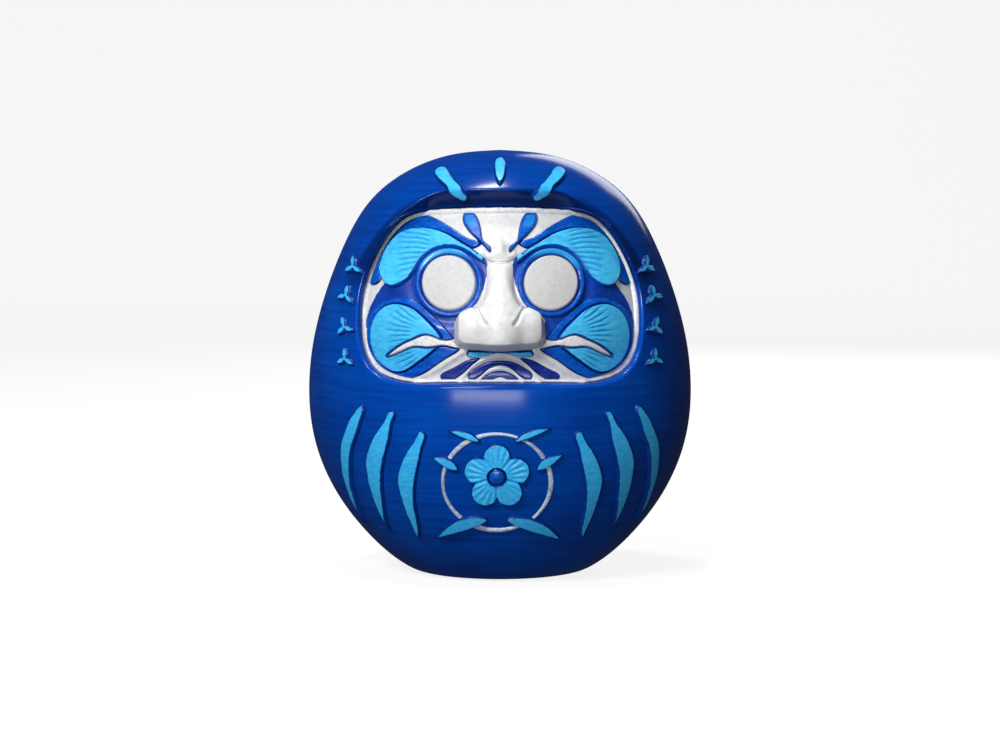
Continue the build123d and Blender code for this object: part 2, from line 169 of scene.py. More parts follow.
def body_mesh(name, front):
    """One half of the egg, from a sphere whose poles point forward and back."""
    bm = bmesh.new()
    bmesh.ops.create_uvsphere(bm, u_segments=AROUND, v_segments=RINGS, radius=1.0)
    bmesh.ops.rotate(bm, verts=bm.verts, cent=(0, 0, 0), matrix=Matrix.Rotation(math.radians(90), 3, "X"))
    co = np.array([v.co for v in bm.verts])
    polar = np.arccos(np.clip(-co[:, 1], -1, 1))
    turn = np.arctan2(co[:, 2], co[:, 0])
    ring = np.round(polar / math.pi * RINGS).astype(int)
    half = RINGS // 2
    edge_turn = np.arctan2(window_loop[:, 1] - WINDOW_MIDDLE, window_loop[:, 0])
    order = np.argsort(edge_turn)
    wt = np.concatenate([edge_turn[order] - 2 * math.pi, edge_turn[order], edge_turn[order] + 2 * math.pi])
    wx = np.interp(turn, wt, np.tile(window_loop[order, 0], 3))
    wz = np.interp(turn, wt, np.tile(window_loop[order, 1], 3))
    s = np.clip((ring - EDGE_RINGS) / (half - EDGE_RINGS), 0, 1) ** 1.15
    a = np.column_stack([wx, egg_front(wx, wz), wz]) - CENTRE
    a /= np.linalg.norm(a, axis=1)[:, None]
    b = np.column_stack([np.cos(turn), 0 * turn, np.sin(turn)])
    angle = np.arccos(np.clip((a * b).sum(1), -1, 1))
    if front:
        d = (np.sin((1 - s) * angle)[:, None] * a + np.sin(s * angle)[:, None] * b) / np.sin(angle)[:, None]
    else:
        d = co.copy()
    out = body_hit(d)
    if front:
        upper = out[:, 2] > WINDOW_MIDDLE
        scooped = body_front(out[:, 0], out[:, 2])
        forward = out[:, 1] < -12
        out[:, 1] = np.where(upper & forward, np.maximum(out[:, 1], scooped), out[:, 1])
        # the window's edge: a small rolled lip, then a wall running back past the face
        away = np.column_stack([wx, wz - WINDOW_MIDDLE])
        away /= np.linalg.norm(away, axis=1)[:, None]
        rolled_x = wx + EDGE_ROLL * away[:, 0]
        rolled_z = wz + EDGE_ROLL * away[:, 1]
        rim_y = np.where(wz < HOOD_LOW, egg_front(rolled_x, rolled_z), body_front(rolled_x, rolled_z))
        for k in range(0, EDGE_RINGS + 1):
            pick = ring == k
            if k < WALL_RINGS:
                out[pick, 0], out[pick, 2] = wx[pick], wz[pick]
                out[pick, 1] = rim_y[pick] + EDGE_ROLL + (WALL_RINGS - k) * WALL_STEP
            else:
                bend = (k - WALL_RINGS) / (EDGE_RINGS - WALL_RINGS) * math.pi / 2
                out[pick, 0] = wx[pick] + away[pick, 0] * EDGE_ROLL * (1 - math.cos(bend))
                out[pick, 2] = wz[pick] + away[pick, 1] * EDGE_ROLL * (1 - math.cos(bend))
                out[pick, 1] = rim_y[pick] + EDGE_ROLL * (1 - math.sin(bend))
        near = (ring > EDGE_RINGS) & (ring < EDGE_RINGS + EASE_RINGS)
        shift = EDGE_ROLL * np.clip(1 - (ring - EDGE_RINGS) / EASE_RINGS, 0, 1) * near
        out[:, 0] += away[:, 0] * shift
        out[:, 2] += away[:, 1] * shift
        x, z = out[:, 0], out[:, 2]
        y_new = np.where(z > HOOD_LOW, body_front(x, z), egg_front(x, z))
        out[:, 1] = np.where(near & (out[:, 1] < -8), y_new, out[:, 1])
    under = (out[:, 2] < FOOT + 0.05) & (np.hypot(out[:, 0], out[:, 1]) < FOOT_RECESS_RADIUS)
    out[under, 2] = FOOT + FOOT_RECESS
    bm.verts.ensure_lookup_table()
    for v, p in zip(bm.verts, out):
        v.co = (p - DOWN) * MM
    if front:
        dead = [v for v, r in zip(bm.verts, ring) if r > half or r == 0]
    else:
        dead = [v for v, r in zip(bm.verts, ring) if r < half]
    bmesh.ops.delete(bm, geom=dead, context="VERTS")
    bmesh.ops.recalc_face_normals(bm, faces=bm.faces)
    me = bpy.data.meshes.new(name)
    bm.to_mesh(me)
    bm.free()
    # painted shade: the lacquer is coloured near black in the scooped recess under the hood and along the band
    # below its ridge, where shade falls
    at = np.array([v.co for v in me.vertices]) / MM + DOWN
    shy = at[:, 1] + np.sqrt(np.maximum(body_radius(at[:, 2]) ** 2 - at[:, 0] ** 2, 0))
    ridge = hood_ridge(np.abs(at[:, 0]))
    painted_shade_share = np.clip((shy + 0.25) / 0.9, 0, 1) * (at[:, 2] > HOOD_LOW)
    painted_shade_share = np.maximum(painted_shade_share, soft((ridge - at[:, 2]) / 3.0) * (np.abs(at[:, 0]) < 42) * (at[:, 2] > 78))
    painted_shade_share = painted_shade_share * (at[:, 1] < -8) * soft((at[:, 2] - 78) / 12) * 0.85
    me.attributes.new("painted_shade", "FLOAT", "POINT").data.foreach_set("value", painted_shade_share.astype(np.float32))
    ob = bpy.data.objects.new(name, me)
    bpy.context.scene.collection.objects.link(ob)
    for f in me.polygons:
        f.use_smooth = True
    return ob


body_front_half = body_mesh("body_front", True)
body_back_half = body_mesh("body_back", False)

for piece, node in ((body_front_half, "front_shell"), (body_back_half, "back_shell")):
    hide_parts(node)
    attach(piece, "root")


class Nodes:
    """Builds one procedural material: named shader nodes and the links between them."""

    def __init__(self, name, roughness, coat=0.0, coat_roughness=0.1, specular=0.5):
        self.material = bpy.data.materials.new(name)
        self.material.use_nodes = True
        self.tree = self.material.node_tree
        self.shader = self.tree.nodes["Principled BSDF"]
        self.shader.inputs["Roughness"].default_value = roughness
        self.shader.inputs["Coat Weight"].default_value = coat
        self.shader.inputs["Coat Roughness"].default_value = coat_roughness
        self.shader.inputs["Specular IOR Level"].default_value = specular

    def add(self, kind, inputs=None, **settings):
        node = self.tree.nodes.new(kind)
        for key, value in settings.items():
            setattr(node, key, value)
        for key, value in (inputs or {}).items():
            if isinstance(value, bpy.types.NodeSocket):
                self.tree.links.new(value, node.inputs[key])
            else:
                node.inputs[key].default_value = value
        return node

    def place(self, scale):
        """Object coordinates in millimetres, stretched by scale."""
        where = self.add("ShaderNodeTexCoord").outputs["Object"]
        mapping = self.add("ShaderNodeMapping", {"Vector": where, "Scale": [1000 * s for s in scale]})
        return mapping.outputs["Vector"]

    def noise(self, scale, detail=4.0, rough=0.55, stretch=(1, 1, 1)):
        return self.add(
            "ShaderNodeTexNoise",
            {"Vector": self.place(stretch), "Scale": scale, "Detail": detail, "Roughness": rough},
        ).outputs["Fac"]

    def ramp(self, value, stops):
        node = self.add("ShaderNodeValToRGB", {"Fac": value})
        while len(node.color_ramp.elements) < len(stops):
            node.color_ramp.elements.new(0.5)
        for element, (place, colour) in zip(node.color_ramp.elements, stops):
            element.position = place
            element.color = (*colour, 1) if len(colour) == 3 else colour
        return node.outputs["Color"]

    def mix(self, share, a, b):
        node = self.add("ShaderNodeMix", data_type="RGBA")
        for key, value in ((0, share), (6, a), (7, b)):
            if isinstance(value, bpy.types.NodeSocket):
                self.tree.links.new(value, node.inputs[key])
            else:
                node.inputs[key].default_value = (*value, 1) if isinstance(value, tuple) else value
        return node.outputs[2]

    def math(self, how, a, b=0.0, c=0.0):
        node = self.add("ShaderNodeMath", operation=how)
        for i, value in enumerate((a, b, c)):
            if isinstance(value, bpy.types.NodeSocket):
                self.tree.links.new(value, node.inputs[i])
            else:
                node.inputs[i].default_value = value
        return node.outputs[0]

    def finish(self, colour, height=None, strength=0.3, distance=0.0003, roughness=None):
        self.tree.links.new(colour, self.shader.inputs["Base Color"])
        if roughness is not None:
            self.tree.links.new(roughness, self.shader.inputs["Roughness"])
        if height is not None:
            bump = self.add("ShaderNodeBump", {"Strength": strength, "Distance": distance, "Height": height})
            self.tree.links.new(bump.outputs["Normal"], self.shader.inputs["Normal"])
        return self.material


lacquer = Nodes("blue_lacquer", 0.4, coat=0.38, coat_roughness=0.17, specular=0.0)
strokes = lacquer.noise(1.0, 5, 0.6, stretch=(0.035, 0.035, 0.9))
coarse = lacquer.noise(0.06, 3, 0.5)
fine = lacquer.noise(2.2, 3, 0.6)
tone = lacquer.math("MULTIPLY_ADD", strokes, 0.6, lacquer.math("MULTIPLY", coarse, 0.4))
blue = lacquer.ramp(
    tone, [(0.28, (0.0002, 0.030, 0.25)), (0.5, (0.0002, 0.050, 0.34)), (0.74, (0.0003, 0.078, 0.46))]
)
# painted shade: the blue is mixed towards near black where the attribute marks the shaded underside of the hood
painted_shade = lacquer.add("ShaderNodeAttribute", attribute_name="painted_shade").outputs["Fac"]
blue = lacquer.mix(painted_shade, blue, (0.0004, 0.010, 0.085))
relief_height = lacquer.math("ADD", lacquer.math("MULTIPLY", strokes, 0.75), lacquer.math("MULTIPLY", fine, 0.2))
rough = lacquer.math("MULTIPLY_ADD", strokes, 0.2, 0.3)
body_blue = lacquer.finish(blue, relief_height, 0.16, 0.0002, rough)
body_front_half.data.materials.append(body_blue)
body_back_half.data.materials.append(body_blue)

# ---------------------------------------------------------------- face moulding
# The face is a white moulding of paper and shell-white paste, a little under 4 mm thick, set in behind the window.
# Its ground is painted dark blue round the eyes between brow and cheek; the mouth hollow is left white and grey.
face_side = cubic([48, 60, 70, 80, 90, 96, 104, 109], [45.5, 46.5, 47.0, 45.2, 40.8, 36.9, 30.3, 25.5])


def outline_distance(loop, x, z):
    """Distance inside a closed outline in mm, negative outside it."""
    p = np.column_stack([np.ravel(x), np.ravel(z)])
    best = np.full(len(p), 1e9)
    inside = np.zeros(len(p), bool)
    ends = np.roll(loop, -1, axis=0)
    for a, b in zip(loop, ends):
        d = b - a
        t = np.clip(((p - a) @ d) / max(d @ d, 1e-12), 0, 1)
        best = np.minimum(best, ((p - a - t[:, None] * d) ** 2).sum(1))
        crossing = (a[1] > p[:, 1]) != (b[1] > p[:, 1])
        if a[1] != b[1]:
            at = (b[0] - a[0]) * (p[:, 1] - a[1]) / (b[1] - a[1]) + a[0]
            inside ^= crossing & (p[:, 0] < at)
    dist = np.sqrt(best)
    return np.where(inside, dist, -dist).reshape(np.shape(x))


EYE_X, EYE_Z = 13.5, 84.6


def line_distance(points, x, z):
    """Distance in mm from an open line through the points."""
    pts = np.array(points, float)
    along = np.concatenate([[0], np.cumsum(np.hypot(*np.diff(pts, axis=0).T))])
    t = np.linspace(0, along[-1], 60)
    line = np.column_stack([cubic(along, pts[:, 0])(t), cubic(along, pts[:, 1])(t)])
    best = np.full(np.shape(x), 1e9)
    for a, b in zip(line, line[1:]):
        d = b - a
        u = np.clip(((x - a[0]) * d[0] + (z - a[1]) * d[1]) / (d @ d), 0, 1)
        best = np.minimum(best, np.hypot(x - a[0] - u * d[0], z - a[1] - u * d[1]))
    return best


def face_sculpt(x, z):
    """How far the white moulding swells forward of its plain form, in mm."""
    ax = np.abs(x)
    h = 0.9 * np.exp(-(((ax - 25) / 9) ** 2 + ((z - 69) / 9) ** 2))
    h -= 1.6 * np.exp(-((x / 11) ** 2 + ((z - 61.5) / 4.5) ** 2))
    eye = np.hypot(ax - EYE_X, z - EYE_Z)
    h -= 0.7 * np.exp(-(((eye - 9.8) / 1.6) ** 2))
    h += 0.9 * np.exp(-((x / 5) ** 2 + ((z - 93) / 4) ** 2))
    h -= 0.55 * np.exp(-(line_distance([(0, 89.6), (3.2, 90.3), (5.4, 91.6)], ax, z) / 0.42) ** 2)
    h += 0.6 * np.exp(-(line_distance([(0, 65.4), (4, 64.7), (8.5, 61.6), (10.3, 59.2)], ax, z) / 0.55) ** 2)
    h += 0.6 * np.exp(-(line_distance([(9.5, 66.8), (13.5, 64.2), (18.5, 60.9), (22, 59.2)], ax, z) / 0.8) ** 2)
    h += 0.5 * np.exp(-(line_distance([(0, 62.3), (3.0, 61.6), (5.9, 59.2)], ax, z) / 0.45) ** 2)
    return h


def face_front(x, z):
    r = face_side(z)
    return -np.sqrt(np.maximum(r * r - x * x, 1.0)) - face_sculpt(x, z)


def panel(name, distance, low, high, host, rise, step=0.26, back=0.6, attributes=None):
    """A closed raised piece: a fine grid trimmed to where distance(x, z) is positive, laid on the host surface,
    lifted along its normal by rise(x, z, distance), and given a back."""
    bm = bmesh.new()
    nx, nz = max(3, int((high[0] - low[0]) / step)), max(3, int((high[1] - low[1]) / step))
    bmesh.ops.create_grid(bm, x_segments=nx, y_segments=nz, size=1.0)
    co = np.array([v.co for v in bm.verts])
    x = low[0] + (co[:, 0] + 1) / 2 * (high[0] - low[0])
    z = low[1] + (co[:, 1] + 1) / 2 * (high[1] - low[1])
    for v, a, b in zip(bm.verts, x, z):
        v.co = (a, 0, b)
    far = distance(x, z) < -1.6 * step
    bmesh.ops.delete(bm, geom=[v for v, f in zip(bm.verts, far) if f], context="VERTS")
    middles = np.array([f.calc_center_median() for f in bm.faces])
    out = distance(middles[:, 0], middles[:, 2]) < 0
    bmesh.ops.delete(bm, geom=[f for f, o in zip(bm.faces, out) if o], context="FACES")
    stray = [v for v in bm.verts if sum(1 for e in v.link_edges if e.is_boundary) > 2]
    bmesh.ops.delete(bm, geom=stray, context="VERTS")
    stray = [v for v in bm.verts if len(v.link_faces) < 1]
    bmesh.ops.delete(bm, geom=stray, context="VERTS")
    edge = [v for v in bm.verts if v.is_boundary]
    p = np.array([(v.co.x, v.co.z) for v in edge])
    for _ in range(3):
        d = distance(p[:, 0], p[:, 1])
        gx = (distance(p[:, 0] + 0.05, p[:, 1]) - distance(p[:, 0] - 0.05, p[:, 1])) / 0.1
        gz = (distance(p[:, 0], p[:, 1] + 0.05) - distance(p[:, 0], p[:, 1] - 0.05)) / 0.1
        n = np.maximum(np.hypot(gx, gz), 0.3)
        move = np.clip(-d / n, -step, step)
        p[:, 0] += move * gx / n
        p[:, 1] += move * gz / n
    for v, (a, b) in zip(edge, p):
        v.co = (a, 0, b)
    made = bmesh.ops.extrude_face_region(bm, geom=list(bm.faces), use_keep_orig=True)
    front = set(v for v in made["geom"] if isinstance(v, bmesh.types.BMVert))
    bm.verts.index_update()
    flat = np.array([(v.co.x, v.co.z) for v in bm.verts])
    is_front = np.array([v in front for v in bm.verts])
    x, z = flat[:, 0], flat[:, 1]
    d = np.maximum(distance(x, z), 0)
    y = host(x, z)
    sx = (host(x + 0.2, z) - host(x - 0.2, z)) / 0.4
    sz = (host(x, z + 0.2) - host(x, z - 0.2)) / 0.4
    n = np.column_stack([sx, -np.ones_like(sx), sz])
    n /= np.linalg.norm(n, axis=1)[:, None]
    h = np.where(is_front, rise(x, z, d), -back)
    co = np.column_stack([x, y, z]) + n * h[:, None]
    for v, q in zip(bm.verts, co):
        v.co = (q - DOWN) * MM
    bmesh.ops.recalc_face_normals(bm, faces=bm.faces)
    me = bpy.data.meshes.new(name)
    bm.to_mesh(me)
    bm.free()
    for f in me.polygons:
        f.use_smooth = True
    fields = {"edge_mm": d * is_front}
    for key, field in (attributes or {}).items():
        fields[key] = field(x, z, d) * is_front
    for key, values in fields.items():
        me.attributes.new(key, "FLOAT", "POINT").data.foreach_set("value", values.astype(np.float32))
    ob = bpy.data.objects.new(name, me)
    bpy.context.scene.collection.objects.link(ob)
    return ob


def fit(ob, node, material):
    """Stands a finished piece in for its CAD node."""
    ob.data.materials.append(material)
    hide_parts(node)
    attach(ob, "root")


face_window = smooth_loop(WINDOW, 200)
FACE_EDGE = whole([
    (0.0, 102.9), (15.8, 102.5), (24.6, 100.6), (30.2, 94.8), (33.5, 88.3), (35.6, 81.0),
    (36.0, 74.0), (35.1, 67.2), (32.0, 62.3), (26.6, 59.9), (14.0, 59.3), (0.0, 59.3),
])
face_edge = smooth_loop(FACE_EDGE, 200)
ground = np.array([
    (3.9, 91.0), (3.3, 86.8), (3.7, 85.2), (4.9, 82.1), (6.3, 80.3), (7.2, 78.5), (9.2, 77.7), (11.1, 75.8),
    (11.8, 72.9), (11.6, 70.3), (14, 70), (20, 74), (26, 77), (32, 74), (35.9, 72), (35.0, 77.5), (33.6, 80.5),
    (31.4, 83.6), (28, 88), (18, 93), (9, 93.5), (6, 92.3),
])


ground_loop = smooth_loop(ground, 150)


PAINT_EDGE = 5.0  # the attribute's value at the paint's edge, so that its usual 0 means unpainted


def ground_paint(x, z, d):
    """How far inside the dark blue paint of the moulding a place is, in mm."""
    return np.clip(outline_distance(ground_loop, np.abs(x), z) + PAINT_EDGE, 0, 2 * PAINT_EDGE)


face_white = Nodes("gofun_white", 0.42, coat=0.12, coat_roughness=0.25, specular=0.4)
grain = face_white.noise(0.55, 5, 0.6)
speck = face_white.noise(2.6, 3, 0.6)
inside_paint = face_white.add("ShaderNodeAttribute", attribute_name="painted").outputs["Fac"]
ragged_edge = face_white.math("MULTIPLY_ADD", face_white.noise(0.7, 4, 0.6), 0.7, -PAINT_EDGE - 0.35)
painted = face_white.math("MULTIPLY", face_white.math("ADD", inside_paint, ragged_edge), 7.0)
painted = face_white.math("MINIMUM", face_white.math("MAXIMUM", painted, 0.0), 1.0)
white = face_white.ramp(
    grain, [(0.3, (0.57, 0.58, 0.59)), (0.55, (0.67, 0.67, 0.67)), (0.8, (0.73, 0.73, 0.725))]
)
navy = face_white.ramp(grain, [(0.3, (0.001, 0.022, 0.22)), (0.7, (0.002, 0.055, 0.42))])
colour = face_white.mix(painted, white, navy)
height = face_white.math("MULTIPLY_ADD", grain, 0.8, face_white.math("MULTIPLY", speck, 0.25))
gofun_white = face_white.finish(colour, height, 0.3, 0.0003, face_white.math("MULTIPLY_ADD", speck, 0.2, 0.3))

face = panel(
    "face_moulding",
    lambda x, z: outline_distance(face_window, x, z) + 0.15,
    (-38, 57.5),
    (38, 105.5),
    face_front,
    lambda x, z, d: 0 * x,
    step=0.3,
    back=3.6,
    attributes={"painted": ground_paint},
)
fit(face, "face_panel", gofun_white)

# ---------------------------------------------------------------- painted relief: its paints
# Brows, cheeks, crown bars and robe lines are ridges of shell-white paste under light blue paint. The paint sits on
# the flat top of each ridge and stops short of its edge, so the steep side walls stay the dark blue of the ground.


def ridge_paint(name, low, mid, high, wall, reach, roughness=0.36, coat=0.25):
    """Paint in three tones on top of a ridge. It stops about reach mm short of the edge, where wall shows."""
    paint = Nodes(name, roughness, coat=coat, coat_roughness=0.2, specular=0.15)
    edge = paint.add("ShaderNodeAttribute", attribute_name="edge_mm").outputs["Fac"]
    groove = paint.add("ShaderNodeAttribute", attribute_name="groove").outputs["Fac"]
    ragged = paint.noise(0.8, 4, 0.65)
    brush = paint.noise(0.5, 5, 0.6, stretch=(1.0, 0.5, 2.4))
    top = paint.ramp(brush, [(0.3, low), (0.5, mid), (0.72, high)])
    line = paint.math("MULTIPLY_ADD", ragged, reach * 1.4, reach * 0.25)
    share = paint.math("MULTIPLY", paint.math("SUBTRACT", edge, line), 6.0)
    share = paint.math("MINIMUM", paint.math("MAXIMUM", share, 0.0), 1.0)
    share = paint.math("MULTIPLY", share, paint.math("SUBTRACT", 1.0, groove))
    lighter = paint.add("ShaderNodeAttribute", attribute_name="lighter").outputs["Fac"]
    colour = paint.mix(lighter, paint.mix(share, wall, top), (0.03, 0.36, 0.80))
    height = paint.math("MULTIPLY_ADD", brush, 0.7, paint.math("MULTIPLY", ragged, 0.35))
    return paint.finish(colour, height, 0.35, 0.00035)


light_blue = ridge_paint(
    "light_blue_paint", (0.025, 0.38, 0.80), (0.04, 0.45, 0.88), (0.07, 0.53, 0.94), (0.0004, 0.032, 0.22), 0.38
)
face_blue = ridge_paint(
    "light_blue_tufts", (0.03, 0.38, 0.74), (0.055, 0.47, 0.82), (0.09, 0.55, 0.88), (0.0005, 0.06, 0.36), 0.3
)
dark_blue = ridge_paint(
    "royal_paint", (0.0005, 0.048, 0.34), (0.001, 0.08, 0.46), (0.006, 0.14, 0.62), (0.0005, 0.018, 0.18),
    0.2, 0.25, 0.5,
)
indigo = ridge_paint(
    "indigo_paint", (0.002, 0.010, 0.13), (0.004, 0.020, 0.22), (0.015, 0.05, 0.36), (0.001, 0.008, 0.10),
    0.1, 0.3, 0.5,
)
white_paint = Nodes("white_ridge_paint", 0.38, coat=0.15, coat_roughness=0.2, specular=0.4)
white_brush = white_paint.noise(0.9, 5, 0.65)
white_tones = [(0.28, (0.50, 0.53, 0.58)), (0.5, (0.70, 0.71, 0.73)), (0.75, (0.82, 0.82, 0.82))]
white_ridge = white_paint.finish(white_paint.ramp(white_brush, white_tones), white_brush, 0.4, 0.0003)

# ---------------------------------------------------------------- face: rim, eyes and nose
# A soft white bead runs round the edge of the moulding. The eyes are blank domed discs, left unpainted for the
# owner, each inside a raised blue lid. The broad nose has two flared wings marked off by thin arched creases.
SIDES = ((1, "left"), (-1, "right"))
EYE_RADIUS = 7.25
LID_INSIDE, LID_OUTSIDE = 7.4, 8.95
LID_BOX = 9.2


def lay(node, slot, paint, name, region, box, host, rise, step, **more):
    """Makes a raised piece over a region of the host surface and stands it in for its node."""
    fit(panel(name, region, *box, host, rise, step=step, **more), node, paint)


lay(
    "face_rim", "white_gofun", white_ridge, "white_rim",
    lambda x, z: np.minimum(outline_distance(face_window, x, z) + 0.05, -outline_distance(face_edge, x, z)),
    ((-38, 57.8), (38, 105)), face_front,
    lambda x, z, d: 0.15 + 0.9 * np.sqrt(np.clip(d / 0.7, 0, 1)) + 0.12 * np.sin(x * 1.7 + z) * np.clip(d, 0, 1),
    step=0.3,
)


def from_eye(x, z, side):
    return np.hypot(x - side * EYE_X, z - EYE_Z)


def eye_area(side):
    return lambda x, z: EYE_RADIUS - from_eye(x, z, side)


def lid_area(side):
    """The lid and everything inside it."""
    return lambda x, z: LID_OUTSIDE - from_eye(x, z, side)


def lid_ring(side):
    return lambda x, z: np.minimum(LID_OUTSIDE - from_eye(x, z, side), from_eye(x, z, side) - LID_INSIDE)


def eye_dome(x, z, d):
    return -0.15 + 0.75 * soft(d / 0.55) ** 0.6 + 0.25 * soft(d / 7.0)


def lid_bead(x, z, d):
    return 0.95 * np.sqrt(np.clip(d / 0.78, 0, 1))


def lid_lighter(x, z, d):
    """The lid turns light blue where it runs up into the brow."""
    return 0.8 * soft((z - EYE_Z - 2.5) / 3) * soft((np.abs(x) - EYE_X + 6) / 4) * soft(d / 0.3)


eye_paint = Nodes("gofun_eye", 0.5, coat=0.05, coat_roughness=0.3, specular=0.25)
pitted = eye_paint.noise(1.1, 5, 0.65)
eye_white = eye_paint.finish(
    eye_paint.ramp(pitted, [(0.3, (0.47, 0.47, 0.475)), (0.7, (0.58, 0.58, 0.575))]), pitted, 0.3, 0.0002
)
for side, word in SIDES:
    box = (
        (side * EYE_X - LID_BOX, EYE_Z - LID_BOX),
        (side * EYE_X + LID_BOX, EYE_Z + LID_BOX),
    )
    lay(
        f"eye_{word}", "white_gofun", eye_white, f"eye_disc_{word}",
        eye_area(side), box, face_front, eye_dome, step=0.2, back=1.0,
    )
    lay(
        f"eye_rim_{word}", "navy_paint", dark_blue, f"eye_lid_{word}",
        lid_ring(side), box, face_front, lid_bead, step=0.16, attributes={"lighter": lid_lighter},
    )

nose_loop = smooth_loop(whole([
    (0.0, 90.2), (3.1, 89.6), (3.5, 86.5), (3.9, 83.2), (5.0, 80.4), (7.4, 78.8), (9.8, 77.2), (11.4, 74.8),
    (12.0, 72.0), (11.8, 69.4), (10.4, 67.8), (7.0, 67.2), (0.0, 67.2),
]), 140)
bridge_height = cubic([66, 70, 74, 78, 83, 88, 91], [7.5, 8.4, 7.0, 4.6, 2.6, 1.1, 0.5])
bridge_width = cubic([66, 72, 78, 83, 91], [7.0, 5.6, 5.0, 4.6, 4.6])
NOSTRIL_ARCH = [(11.6, 75.0), (10.2, 76.9), (8.1, 78.0), (6.0, 77.5), (4.8, 76.1), (4.2, 74.6), (3.3, 73.4)]


def nose_rise(x, z, d):
    """Bridge, tip and wings run together, with a crease arched over each wing."""
    ax = np.abs(x)
    bridge = bridge_height(z) * np.exp(-((ax / bridge_width(z)) ** 2.6))
    tip = 9.0 * np.sqrt(np.clip(1 - (x / 7.6) ** 2 - ((z - 72.0) / 7.4) ** 2, 0, 1))
    wing = 7.0 * np.sqrt(np.clip(1 - ((ax - 7.2) / 5.4) ** 2 - ((z - 72.0) / 6.2) ** 2, 0, 1)) ** 0.8
    h = np.log(np.exp(bridge) + np.exp(tip) + np.exp(wing)) - math.log(3) * np.exp(-bridge / 3)
    h -= 1.0 * np.exp(-((line_distance(NOSTRIL_ARCH, ax, z) / 0.38) ** 2))
    h += 0.3 * np.exp(-((line_distance(NOSTRIL_ARCH, ax, z - 0.9) / 0.6) ** 2))
    return h * np.clip(d / 2.2, 0, 1) ** 0.55 + 0.12


lay(
    "nose", "white_gofun", gofun_white, "nose_moulding",
    lambda x, z: outline_distance(nose_loop, x, z), ((-12.4, 66.6), (12.4, 90.8)),
    face_front, nose_rise, step=0.16,
)

# ---------------------------------------------------------------- face: brows, cheeks, curls and mouth lines
# Each tuft is a fat comma of paste combed with a fine comb while soft, so that hair lines fan out across it. Thin
# dark lines edge the tufts, curl on the forehead and ripple round the mouth; a white whisker lies on each cheek.


def plateau(height, wall=0.45):
    """A flat-topped ridge with a soft shoulder wall mm wide."""
    return lambda x, z, d: height * soft(d / wall + 0.25)


class Comb:
    """Grooves that fan out from a point, between two distances from it."""

    def __init__(self, centre, spacing, near, far):
        self.centre, self.spacing, self.near, self.far = centre, spacing, near, far

    def wave(self, x, z):
        """The distance from the point, and a wave whose crests are the grooves."""
        dx, dz = np.abs(x) - self.centre[0], z - self.centre[1]
        r, turn = np.hypot(dx, dz), np.arctan2(dz, dx)
        return r, np.cos(turn / self.spacing * 2 * math.pi + 0.9 * np.sin(r * 0.55 + turn * 5))

    def rise(self, x, z, d):
        r, wave = self.wave(x, z)
        strength = soft((r - self.near) / 3) * soft((self.far - r) / 5)
        lines = np.clip(wave - 0.35, 0, 1) / 0.65
        return TUFT_HEIGHT * soft(d / 0.5 + 0.25) - 0.42 * lines * strength * soft(d / 1.5)

    def paint(self, x, z, d):
        r, wave = self.wave(x, z)
        strength = soft((r - self.near) / 3) * soft((self.far - r) / 4)
        return 0.55 * soft(np.clip(wave - 0.5, 0, 1) * 2) * strength


TUFT_HEIGHT = 1.35
brow_comb = Comb((2.0, 93.0), 0.062, 15, 27)
cheek_comb = Comb((15.0, 70.5), 0.115, 7, 15.5)

BROW = smooth_loop([
    (3.9, 89.6), (4.9, 91.6), (8.0, 93.9), (12.0, 96.2), (16.4, 97.9), (22.0, 98.5), (26.2, 97.2), (29.6, 93.9),
    (31.6, 89.4), (31.4, 85.2), (29.0, 83.1), (26.0, 83.8), (23.0, 86.5), (19.4, 90.4), (14.0, 92.6), (9.0, 92.4),
    (6.0, 90.6),
], 130)
BROW_BAND = smooth_loop([
    (4.8, 94.9), (7.6, 96.1), (11.0, 97.9), (16.3, 101.0), (21.2, 102.5), (26.9, 100.1), (30.9, 94.7),
    (33.2, 89.1), (34.4, 83.4), (32.6, 84.0), (31.0, 87.0), (26.0, 92.0), (18.0, 95.0), (10.0, 93.4), (6.8, 93.6),
], 130)
CHEEK = smooth_loop([
    (15.2, 69.3), (18.8, 74.3), (23.9, 78.1), (27.0, 78.8), (30.2, 77.9), (33.4, 73.9), (33.6, 67.1), (30.2, 62.2),
    (26.4, 60.9), (21.7, 63.4), (16.9, 67.2),
], 130)
CHEEK_BAND = smooth_loop([
    (11.2, 69.2), (13.6, 72.1), (18.5, 77.1), (23.9, 80.3), (30.2, 79.6), (34.6, 75.4), (35.4, 68.9),
    (32.5, 62.0), (26.3, 59.0), (19.8, 60.8), (13.4, 65.2), (10.4, 68.0),
], 130)
WHISKER = smooth_loop([
    (9.6, 69.9), (13.7, 69.6), (16.3, 70.1), (19.6, 70.9), (22.2, 69.9), (24.4, 68.9), (27.0, 67.3), (29.3, 65.1),
    (26.0, 66.3), (22.0, 67.9), (18.5, 67.8), (14.2, 68.2), (9.6, 68.3),
], 110)
CURL = smooth_loop([
    (8.0, 103.3), (9.7, 102.6), (10.0, 100.8), (9.0, 98.8), (7.4, 97.0), (5.6, 95.4), (3.6, 93.4), (2.5, 92.6),
    (2.3, 93.6), (4.2, 95.6), (4.8, 97.6), (5.4, 100.4), (6.6, 102.6),
], 110)
MOUSTACHE = smooth_loop([
    (5.2, 65.0), (7.1, 64.9), (9.6, 64.0), (13.2, 62.0), (15.8, 59.9), (15.2, 58.9), (11.8, 59.4), (9.2, 61.3),
    (6.6, 63.7),
], 90)
FOLD = smooth_loop(whole([(0.0, 96.4), (2.4, 94.8), (4.5, 92.4), (3.6, 90.8), (0.0, 90.1)]), 90)
LIP = smooth_loop(whole([
    (0.0, 67.9), (5.3, 67.7), (8.6, 67.0), (8.9, 66.0), (7.0, 65.2), (3.5, 65.7), (0.0, 66.3),
]), 90)
